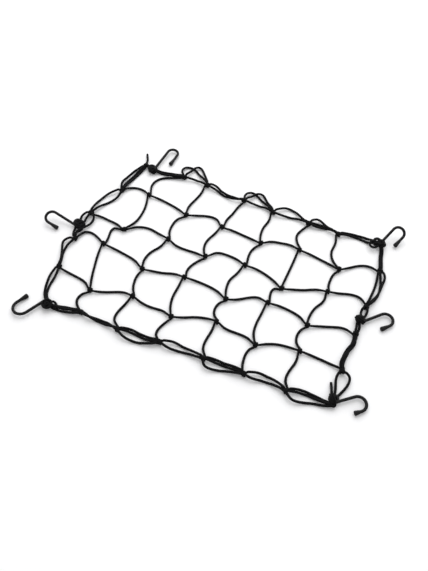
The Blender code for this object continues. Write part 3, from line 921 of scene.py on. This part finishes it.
@dataclass
class Layout:
    """Where the border cord is held all the way round, and how lengths of cord lie between two places.

    Args:
        eye_radius: The radius of a hook's eye, at the middle of its wire.
        tip_radius: The radius of a hook's tip, which rests on the floor.
        places: Each station's place, by its name.
    """

    eye_radius: float = 5.0
    tip_radius: float = 3.35
    places: dict[str, Place] = field(init=False)

    def __post_init__(self) -> None:
        """Works out each station's place."""
        ties = {tie.hook: tie for tie in TIES}
        self.places = {}
        for index, station in enumerate(STATIONS):
            before = STATIONS[index - 1]
            after = STATIONS[(index + 1) % len(STATIONS)]
            clockwise = level(Vector((after.x - before.x, after.y - before.y, 0.0)))
            mark = flat((station.x, station.y))
            if station.hold is Hold.TIE:
                tie = ties[station.hook]
                eye = self.eye(tie.hook)
                place = Place(mark, eye + Vector(tie.arrive), eye + Vector(tie.leave), clockwise, tied=True)
            else:
                centre = mark + UP * KNOT_HEIGHT
                place = Place(mark, centre, centre, clockwise)
            self.places[station.name] = place

    def eye(self, node: str) -> Vector:
        """Gives the middle of a hook's eye."""
        hook = next(hook for hook in HOOKS if hook.node == node)
        return Vector((hook.x, hook.y, hook.height))

    def hook_axes(self, hook: HookShape) -> tuple[Vector, Vector]:
        """Works out how a hook lies when its tip rests on the floor.

        Args:
            hook: The hook.

        Returns:
            The shank's direction and the direction from the shank to the return.
        """
        heading = math.radians(hook.heading)
        roll = math.radians(hook.roll)
        along = hook.shank - hook.back
        across = (self.eye_radius + 2.0 * hook.bend) * math.sin(roll)
        drop = (self.tip_radius - hook.height) / math.hypot(along, across)
        pitch = math.asin(drop) - math.atan2(across, along)
        ahead = Vector((math.cos(heading), math.sin(heading), 0.0))
        shank = ahead * math.cos(pitch) + UP * math.sin(pitch)
        raised = UP * math.cos(pitch) - ahead * math.sin(pitch)
        over = left_of(ahead) * (hook.side.value * math.cos(roll)) + raised * math.sin(roll)
        return shank, over

    def shoulder(self, strand: Bow | Loop) -> float:
        """Gives a strand's height at its first and last point."""
        return strand.height + (KNOT_HEIGHT - strand.height) * SHOULDER

    def bowed(self, start: Vector, end: Vector, bow: Bow) -> list[Vector]:
        """Follows cord that bows between two marks on the floor.

        Args:
            start: The mark where it starts.
            end: The mark where it ends.
            bow: How it bows.

        Returns:
            Its points at each quarter of the way.
        """
        along = end - start
        left = left_of(level(along))
        shoulder = self.shoulder(bow)
        shares = ((0.25, bow.quarter, shoulder), (0.5, bow.half, bow.height),
                  (0.75, bow.three_quarters, shoulder))
        return [start + along * share + left * out + UP * lift for share, out, lift in shares]

    def looped(self, start: Vector, end: Vector, loop: Loop) -> list[Vector]:
        """Follows a strand that stands out in a loop between two marks on the floor.

        Args:
            start: The mark where it starts.
            end: The mark where it ends.
            loop: How it lies.

        Returns:
            Its points.
        """
        ahead = level(end - start)
        left = left_of(ahead)
        lifts = [self.shoulder(loop), *[loop.height] * (len(loop.points) - 2), self.shoulder(loop)]
        return [start + ahead * along + left * out + UP * lift
                for (along, out), lift in zip(loop.points, lifts)]


@dataclass(frozen=True)
class Winding:
    """Turns of cord round something, the form that every knot of the net is made of.

    Args:
        turns: How many turns there are.
        pitch: How far the cord moves along in each turn.
        reach: The turns' radius to the side.
        rise: Their radius above the middle.
        drop: Their radius below the middle.
        radius: The cord's own radius, drawn tight.
        strap: How far the turn that crosses the others is lifted over them.
        start: Where the first turn starts, as a share of a turn from the side toward the top.
        strap_width: The share of a turn in which the strap rises.
        steps: The number of steps in a turn.
    """

    turns: float
    pitch: float
    reach: float
    rise: float
    drop: float
    radius: float
    strap: float = 0.0
    start: float = 0.0
    strap_width: float = 0.22
    steps: int = 16

    def wound(self, centre: Vector, axis: Vector, side: Vector) -> list[Spot]:
        """Follows the turns from their start to their end.

        Args:
            centre: The middle of the turns.
            axis: The direction of what they go round.
            side: The level direction in which they start.

        Returns:
            The cord's spots.
        """
        count = round(self.turns * self.steps)
        spots = []
        for index in range(count + 1):
            done = self.turns * index / count
            past = done - self.turns / 2.0
            angle = FULL_TURN * (done + self.start)
            along, lift = self.pitch * past, 0.0
            if self.strap:
                along = self.pitch * self.turns / 2.0 * (2.0 * ease(past + 0.5) - 1.0)
                lift = self.strap * math.exp(-(past / self.strap_width) ** 2)
            high = self.rise if math.sin(angle) > 0.0 else self.drop
            out = side * (math.cos(angle) * (self.reach + lift)) + UP * (math.sin(angle) * (high + lift))
            spots.append(Spot(centre + axis * along + out, self.radius))
        return spots


# The turns of a column cord round a row cord, of the mesh cords' ends round the border cord, and of the knot
# in the border cord itself.
CROSSING = Winding(turns=2.5, pitch=1.35, reach=2.4, rise=2.4, drop=2.2, radius=1.5, strap=0.5)
COLLAR = Winding(turns=2.25, pitch=2.3, reach=2.9, rise=2.5, drop=2.3, radius=1.5, start=-0.25)
OVERHAND = Winding(turns=1.5, pitch=1.6, reach=2.6, rise=2.6, drop=2.4, radius=1.3, strap=0.5)


@dataclass
class ElasticCord:
    """The cord that both the mesh and the border are made of.

    Args:
        layout: The net's layout.
        radius: The cord's radius where it lies slack.
        relaxing: How many times the slack cord springs out of its kinks.
        step: The length of each short piece of its mesh.
        sides: The number of sides of the cord.
        finish: The cord's sheath.
    """

    layout: Layout
    radius: float = 1.8
    relaxing: int = 60
    step: float = 2.2
    sides: int = 12
    finish: BraidedCord = field(default_factory=BraidedCord)

    def slack(self, points: Sequence[Vector]) -> list[Spot]:
        """Gives the spots of slack cord that passes through some points."""
        return [Spot(point, self.radius) for point in points]

    def sprung(self, spots: Sequence[Spot]) -> list[Spot]:
        """Gives the smooth route of a cord that has sprung out of its kinks."""
        return relaxed(smoothed(spots, self.step), self.radius, self.relaxing)

    def complete(self, name: str, routes: Sequence[Sequence[Spot]], slot: Slot, node: str) -> None:
        """Makes one finished piece of cords.

        Args:
            name: The piece's name.
            routes: Each cord's route, in short steps.
            slot: Not used; the material slot meant for the piece.
            node: The node that it stands for.
        """
        piece = make_cords(name, routes, self.sides)
        lay_down(piece, Matrix.Identity(4))
        self.finish.dress(piece, self.radius)
        finish_piece(piece, node)


@dataclass
class MeshCords(ElasticCord):
    """The mesh: row and column cords, knotted where they cross and tied round the border cord.

    Args:
        row_reach: How far a row cord's tight part reaches from a knot's middle.
        routes: The cords' routes, once they are built.
    """

    row_reach: float = 2.2
    routes: list[list[Spot]] = field(default_factory=list)

    def row_knot(self, line: int, column: int, way: Vector) -> list[Spot]:
        """Takes a row cord straight through a knot, its way there given."""
        middle = flat(KNOTS[line][column]) + UP * KNOT_HEIGHT
        return [Spot(middle + way * reach, CROSSING.radius) for reach in (-self.row_reach, self.row_reach)]

    def row_way(self, line: int, column: int) -> Vector:
        """Finds the direction of a row cord at one of its knots.

        Args:
            line: The row's number.
            column: The knot's column.

        Returns:
            The level direction.
        """
        knots, legs = [flat(knot) for knot in KNOTS[line]], ROW_LEGS[line]
        before = self.layout.bowed(knots[column - 1], knots[column], legs[column - 1])[-1]
        after = self.layout.bowed(knots[column], knots[column + 1], legs[column])[0]
        return level(after - before)

    def column_knot(self, column: int, line: int, way: Vector) -> list[Spot]:
        """Follows a column cord round a row cord, in two and a half turns with a slanting strap.

        Args:
            column: The column's number.
            line: The knot's row.
            way: The column cord's direction there.

        Returns:
            The column cord's spots in the knot.
        """
        row_way = self.row_way(line, column)
        side = left_of(row_way)
        if side.dot(way) > 0.0:
            side = -side
        flip = 1 if (line + column) % 2 else -1
        return CROSSING.wound(flat(KNOTS[line][column]) + UP * KNOT_HEIGHT, row_way * flip, level(side - way))

    def collar(self, station: str, flip: int, toward: Vector) -> list[Spot]:
        """Follows a cord's end round the border cord.

        Args:
            station: The station's name.
            flip: 1 if the turns run on clockwise along the border, or -1.
            toward: The cord's next point.

        Returns:
            The spots from its tucked tip to where it leaves.
        """
        place = self.layout.places[station]
        side = level(place.inward + level(toward - place.centre))
        return COLLAR.wound(place.centre, place.clockwise * flip, side)

    def cord(self, number: int, sides: str, knots: Sequence[Sequence[float]], legs: Sequence[Bow],
             knot: Callable[[int, int, Vector], list[Spot]]) -> list[Spot]:
        """Follows a row or column cord from collar to collar.

        Args:
            number: The row's or column's number.
            sides: The letters of the stations at its start and end.
            knots: The places of its knots and ends on the floor.
            legs: How it bows between them.
            knot: Gives the cord's spots in a knot.

        Returns:
            The cord's spots.
        """
        flip = 1 if number % 2 else -1
        marks = [flat(place) for place in knots]
        parts = [self.slack(self.layout.bowed(*ends)) for ends in zip(marks, marks[1:], legs)]
        spots = self.collar(f"{sides[0]}{number}", flip, parts[0][0].place) + parts[0]
        for index, part in enumerate(parts[1:], 1):
            spots += knot(number, index, level(part[0].place - spots[-1].place)) + part
        spots += reversed(self.collar(f"{sides[1]}{number}", flip, spots[-1].place))
        return spots

    def build(self) -> None:
        """Builds the whole mesh as one piece."""
        cords = [self.cord(line, "LR", KNOTS[line], legs, self.row_knot) for line, legs in ROW_LEGS.items()]
        cords += [self.cord(column, "BF", [line[column] for line in KNOTS], legs, self.column_knot)
                  for column, legs in COLUMN_LEGS.items()]
        self.routes = [self.sprung(cord) for cord in cords]
        self.complete("mesh_cords", self.routes, Slot.MESH_CORD, "net_mesh")


@dataclass
class BorderCord(ElasticCord):
    """The border cord: its strands round the rim, its ties on the hooks and its two cut ends.

    Args:
        drawn: The cord's radius where it is drawn together in a knot.
        tight: Its radius in the turns of a tie.
        easing: How many times it springs out of its kinks again once it lies on other cords.
        turn_steps: The number of steps in a turn of a tie.
        lobe_depth: How far an overhand knot's turns swing in and out, as a share of their size.
        lobe_height: How far they rise and dip.
        twist_radius: How far the strands of a twisted bundle lie from its middle.
        twist_drawn: How far they lie from its middle where it enters a knot.
        twist_neck: The share of its length over which they spread out.
        twist_strands: How many strands the bundle has.
        neck: Half the length over which the strands are drawn together.
        neck_clear: How far from a station's middle the slack strands start.
        tie_neck: The length over which they are drawn together at a tie.
        tie_clear: How far from a tie the slack strands start.
        turned: The least share of its length by which a strand's way forward runs along the border, below
            which it turns within the collar.
    """

    drawn: float = 1.4
    tight: float = 1.65
    easing: int = 2
    turn_steps: int = 24
    lobe_depth: float = 0.45
    lobe_height: float = 1.7
    twist_radius: float = 2.0
    twist_drawn: float = 1.25
    twist_neck: float = 0.12
    twist_strands: int = 3
    neck: float = 4.0
    neck_clear: float = 7.0
    tie_neck: float = 3.0
    tie_clear: float = 6.0
    turned: float = 0.3

    def run_routes(self, run: Run) -> list[list[Spot]]:
        """Follows the strands of one run.

        Args:
            run: The run.

        Returns:
            The route of each strand, from the middle of one knot to the middle of the next.
        """
        first, last = self.layout.places[run.start], self.layout.places[run.end]
        start, end = first.mark, last.mark
        middles = []
        for strand in run.strands:
            lay = self.layout.bowed if isinstance(strand, Bow) else self.layout.looped
            points = [point for point in lay(start, end, strand)
                      if self.is_clear(point, first, first.leave) and self.is_clear(point, last, last.arrive)]
            middles.append((strand, points))
        if isinstance(run.strands[0], Twist):
            return self.twisted(first, last, middles[0][1], run.strands[0].turns)
        left = left_of(level(end - start))
        middles.sort(key=lambda pair: -max(((point - start).dot(left) for point in pair[1]), default=0.0))
        routes = []
        for (strand, points), offset in zip(middles, BUNDLES[len(middles)]):
            starts_back = isinstance(strand, Loop) and strand.points[0][0] < 0.0
            ends_beyond = isinstance(strand, Loop) and strand.points[-1][0] > (end - start).length
            out_way = first.clockwise * (-1.0 if starts_back else 1.0)
            back_way = last.clockwise * (1.0 if ends_beyond else -1.0)
            out = self.drawn_in(first, first.leave, out_way, offset, [*points, last.arrive][0])
            back = self.drawn_in(last, last.arrive, back_way, offset, [first.leave, *points][-1])
            routes.append([*out, *self.slack(points), *reversed(back)])
        return routes

    def is_clear(self, point: Vector, place: Place, middle: Vector) -> bool:
        """Tells whether a slack point lies outside the part of a knot where the strands are drawn in."""
        return plan_distance(point, middle) > (self.tie_clear if place.tied else self.neck_clear)

    def drawn_in(self, place: Place, middle: Vector, way: Vector, offset: tuple[float, float],
                 toward: Vector) -> list[Spot]:
        """Gives the spots of a strand that leaves a knot.

        Args:
            place: Where the knot is.
            middle: The middle of the strands that are drawn in there.
            way: The direction in which they run through a collar.
            offset: How the strand lies in the bundle, as (left, up).
            toward: The strand's next point.

        Returns:
            The spots from the knot's middle outward.
        """
        straight = level(toward - middle)
        ahead = straight if place.tied or way.dot(straight) > self.turned else level(way + straight)
        left = left_of(place.clockwise)
        beside = middle + left * offset[0] + UP * offset[1]
        half = (self.tie_neck if place.tied else self.neck) / 2.0
        return [
            Spot(beside, self.drawn),
            Spot(beside + ahead * half, self.drawn),
            Spot(beside + (ahead + straight) * half, self.radius),
        ]

    def twisted(self, first: Place, last: Place, points: Sequence[Vector], turns: float) -> list[list[Spot]]:
        """Winds the strands of a twisted bundle round its middle.

        Args:
            first: Where the bundle starts.
            last: Where it ends.
            points: Its middle points.
            turns: How often each strand goes round.

        Returns:
            The route of each strand.
        """
        start, end = (
            self.slack([place.centre + place.clockwise * reach for reach in reaches])
            for place, reaches in ((first, (0.0, self.neck)), (last, (-self.neck, 0.0))))
        middle = smoothed([*start, *self.slack(points), *end], self.step)
        count = len(middle) - 1
        routes = []
        for strand in range(self.twist_strands):
            wound = []
            for index, spot in enumerate(middle):
                ahead = level(middle[min(index + 1, count)].place - middle[max(index - 1, 0)].place)
                angle = FULL_TURN * (strand / self.twist_strands + turns * index / count)
                free = ease(min(index, count - index) / (self.twist_neck * count))
                spread = self.twist_drawn + (self.twist_radius - self.twist_drawn) * free
                side = left_of(ahead) * math.cos(angle) + UP * math.sin(angle)
                radius = self.drawn + (self.radius - self.drawn) * free
                wound.append(Spot(spot.place + side * spread, radius))
            routes.append(wound)
        return routes

    def turn_route(self, centre: Vector, turn: Turn) -> list[Spot]:
        """Follows a closed turn of cord in a tie.

        Args:
            centre: The middle of the hook's eye.
            turn: How the turn lies.

        Returns:
            The turn's spots, its end inside its start.
        """
        heading, tilt = math.radians(turn.heading), math.radians(turn.tilt)
        ahead = Vector((math.cos(heading), math.sin(heading), 0.0))
        beside = left_of(ahead) * math.cos(tilt) + UP * math.sin(tilt)
        normal = ahead.cross(beside)
        middle = centre + Vector((turn.x, turn.y, turn.z))
        rounds = 2 if turn.lobes else 1
        count = self.turn_steps * rounds
        spots = []
        for index in range(count + 2):
            angle = FULL_TURN * index / count
            reach = 1.0 + (self.lobe_depth * math.cos(turn.lobes * angle) if turn.lobes else 0.0)
            lift = self.lobe_height * math.sin(turn.lobes * angle) if turn.lobes else 0.0
            flat_part = (ahead * (turn.long * math.cos(rounds * angle))
                         + beside * (turn.short * math.sin(rounds * angle))) * reach
            spots.append(Spot(middle + flat_part + normal * lift, self.tight))
        return spots

    def build(self, mesh_routes: Sequence[Sequence[Spot]]) -> None:
        """Builds the whole border cord as one piece.

        Args:
            mesh_routes: The routes of the mesh cords, over which it is laid.
        """
        laid = list(mesh_routes)
        for run in RUNS:
            for spots in reversed(self.run_routes(run)):
                route = self.sprung(spots)
                if not isinstance(run.strands[0], Twist):
                    route = relaxed(settled(route, laid, self.radius), self.radius, self.easing)
                laid.append(route)
        strands = laid[len(mesh_routes):]
        routes = [self.turn_route(self.layout.eye(tie.hook), turn) for tie in TIES for turn in tie.turns]
        knots = [self.layout.places[station.name] for station in STATIONS if station.hold is Hold.OVERHAND]
        routes += [OVERHAND.wound(place.centre, place.clockwise, place.inward) for place in knots]
        routes += [self.slack([Vector(point) for point in end]) for end in LOOSE_ENDS]
        strands += [smoothed(route, self.step) for route in routes]
        self.complete("border_strands", strands, Slot.BORDER_CORD, "border_cord")


@dataclass
class WireHook:
    """One hook: wire bent to a closed eye, a shank and a J, and dipped so that its tip is thick.

    Args:
        layout: The net's layout.
        shape: How the hook is bent and how it lies.
        wire: The radius of the coated wire.
        sides: The number of sides of the wire.
        eye_end: Where the eye's own end meets the shank, in degrees.
        least_return: The least length of plain wire between the bend and the tip.
        shank_steps: The number of steps along the shank.
        return_steps: The number of steps along the return's plain part.
        eye_steps: The number of steps round the eye.
        bend_steps: The number of steps round the bend.
        tip_swell: How the coat swells down to the tip's end, as (length, radius reached) of each step.
        finish: The hook's coat.
    """

    layout: Layout
    shape: HookShape
    wire: float = 2.1
    sides: int = 16
    eye_end: float = 38.0
    least_return: float = 1.0
    shank_steps: int = 8
    return_steps: int = 3
    eye_steps: int = 28
    bend_steps: int = 20
    tip_swell: tuple[tuple[float, float], ...] = (
        (1.2, 2.25), (1.6, 2.45), (2.4, 2.75), (2.6, 3.05), (2.2, 3.3), (1.2, 3.35), (0.8, 3.1), (0.5, 2.5),
        (0.3, 1.6), (0.1, 0.7))
    finish: DippedWire = field(default_factory=DippedWire)

    def advance(self, length: float, steps: int, heading: float) -> None:
        """Extrudes the wire's open end straight on.

        Args:
            length: How far it goes.
            steps: The number of steps in which it goes.
            heading: 1 away from the eye, or -1 back toward it.
        """
        for _ in range(steps):
            bpy.ops.mesh.extrude_region_move(
                TRANSFORM_OT_translate={"value": (heading * length / steps, 0.0, 0.0)})

    def bend_wire(self) -> bpy.types.Object:
        """Bends the wire along its own x axis, with the eye's middle at the origin.

        Returns:
            The wire, in millimetres.
        """
        eye = self.layout.eye_radius
        start = math.radians(self.eye_end)
        bpy.ops.object.select_all(action="DESELECT")
        bpy.ops.mesh.primitive_circle_add(
            vertices=self.sides, radius=self.wire, fill_type="NOTHING",
            location=(eye * math.cos(start), eye * math.sin(start), 0.0),
            rotation=(math.pi / 2.0, 0.0, start))
        piece = bpy.context.object
        bpy.ops.object.transform_apply(location=True, rotation=True, scale=True)
        bpy.ops.object.mode_set(mode="EDIT")
        bpy.ops.mesh.select_all(action="SELECT")
        round_eye = FULL_TURN + start - math.pi / 2.0
        bpy.ops.mesh.spin(steps=self.eye_steps, angle=round_eye, center=(0.0, 0.0, 0.0), axis=(0.0, 0.0, 1.0))
        shape = self.shape
        self.advance(shape.shank, self.shank_steps, 1.0)
        bpy.ops.mesh.spin(steps=self.bend_steps, angle=math.pi, center=(shape.shank, eye + shape.bend, 0.0),
                          axis=(0.0, 0.0, -1.0))
        swell_length = sum(length for length, _ in self.tip_swell)
        squeeze = min(1.0, (shape.back - self.least_return) / swell_length)
        plain = shape.back - swell_length * squeeze
        self.advance(plain, self.return_steps, -1.0)
        reached = shape.shank - plain
        radius = self.wire
        for length, wanted in self.tip_swell:
            self.advance(length * squeeze, 1, -1.0)
            reached -= length * squeeze
            bpy.ops.transform.resize(value=(wanted / radius,) * 3,
                                     center_override=(reached, eye + 2.0 * shape.bend, 0.0))
            radius = wanted
        bpy.ops.mesh.select_all(action="SELECT")
        bpy.ops.mesh.fill_holes(sides=0)
        bpy.ops.mesh.normals_make_consistent(inside=False)
        bpy.ops.object.mode_set(mode="OBJECT")
        return piece

    def build(self) -> None:
        """Builds the hook and lays it down."""
        piece = self.bend_wire()
        piece.name = self.shape.node.replace("hook", "wire_hook")
        piece.data.name = piece.name
        shank, over = self.layout.hook_axes(self.shape)
        turn = Matrix((shank, over, shank.cross(over))).transposed().to_4x4()
        lay_down(piece, Matrix.Translation((self.shape.x, self.shape.y, self.shape.height)) @ turn)
        self.finish.dress(piece)
        finish_piece(piece, self.shape.node)


@dataclass
class Studio:
    """The white floor, the soft light and the camera.

    Args:
        floor_size: The floor's width and depth, in metres.
        air_glow: The strength of the light that comes from all sides.
        key_place: Where the large soft lamp stands, in metres.
        key_size: The side of its square, in metres.
        key_power: Its power in watts.
        camera_place: Where the camera stands, in metres.
        camera_target: Where it looks.
        lens: Its focal length, in mm.
        frame_height: The height of the picture behind the lens, in mm.
        paper: The floor's paper.
    """

    floor_size: float = 6.0
    air_glow: float = 0.79
    key_place: tuple[float, float, float] = (-0.3, 1.6, 1.5)
    key_size: float = 2.6
    key_power: float = 42.0
    camera_place: tuple[float, float, float] = (0.2419, -0.5546, 0.7640)
    camera_target: tuple[float, float, float] = (0.0164, -0.0361, 0.0)
    lens: float = 42.24
    frame_height: float = 36.0
    paper: MattPaper = field(default_factory=MattPaper)

    def lay_floor(self) -> None:
        """Lays the paper on which the net lies."""
        bpy.ops.object.select_all(action="DESELECT")
        bpy.ops.mesh.primitive_plane_add(size=self.floor_size)
        floor = bpy.context.object
        floor.name = "studio_floor"
        self.paper.dress(floor)

    def stand(self, name: str, thing: bpy.types.ID, place: Sequence[float],
              target: Sequence[float]) -> bpy.types.Object:
        """Stands a lamp or a camera in the studio.

        Args:
            name: The object's name.
            thing: The lamp or the camera.
            place: Where it stands.
            target: Where it looks.

        Returns:
            The object.
        """
        stand = bpy.data.objects.new(name, thing)
        stand.location = place
        stand.rotation_euler = (Vector(target) - Vector(place)).to_track_quat("-Z", "Y").to_euler()
        bpy.context.scene.collection.objects.link(stand)
        return stand

    def light(self) -> None:
        """Lights the net from all sides, and with one large soft lamp from behind, a little to the left."""
        world = bpy.data.worlds.new("studio_air")
        world.use_nodes = True
        feed(world.node_tree.nodes["Background"], {"Color": linear("#ffffff"), "Strength": self.air_glow}, {})
        bpy.context.scene.world = world
        lamp = bpy.data.lights.new("key_softbox", "AREA")
        lamp.shape = "SQUARE"
        lamp.size = self.key_size
        lamp.energy = self.key_power
        self.stand("key_softbox", lamp, self.key_place, (0.0, 0.0, 0.0))

    def add_camera(self) -> None:
        """Stands the camera where the photograph was taken from."""
        lens = bpy.data.cameras.new("camera")
        lens.lens = self.lens
        lens.sensor_fit = "VERTICAL"
        lens.sensor_height = self.frame_height
        bpy.context.scene.camera = self.stand("camera", lens, self.camera_place, self.camera_target)

    def build(self) -> None:
        """Sets the studio up."""
        bpy.context.scene.view_settings.view_transform = "Standard"
        self.lay_floor()
        self.light()
        self.add_camera()


def main() -> None:
    """Dresses the net and sets up the studio."""
    logging.basicConfig(level=logging.INFO, format="%(name)s: %(message)s")
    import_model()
    layout = Layout()
    Studio().build()
    mesh = MeshCords(layout)
    mesh.build()
    BorderCord(layout).build(mesh.routes)
    for shape in HOOKS:
        WireHook(layout, shape).build()


if __name__ == "__main__":
    main()
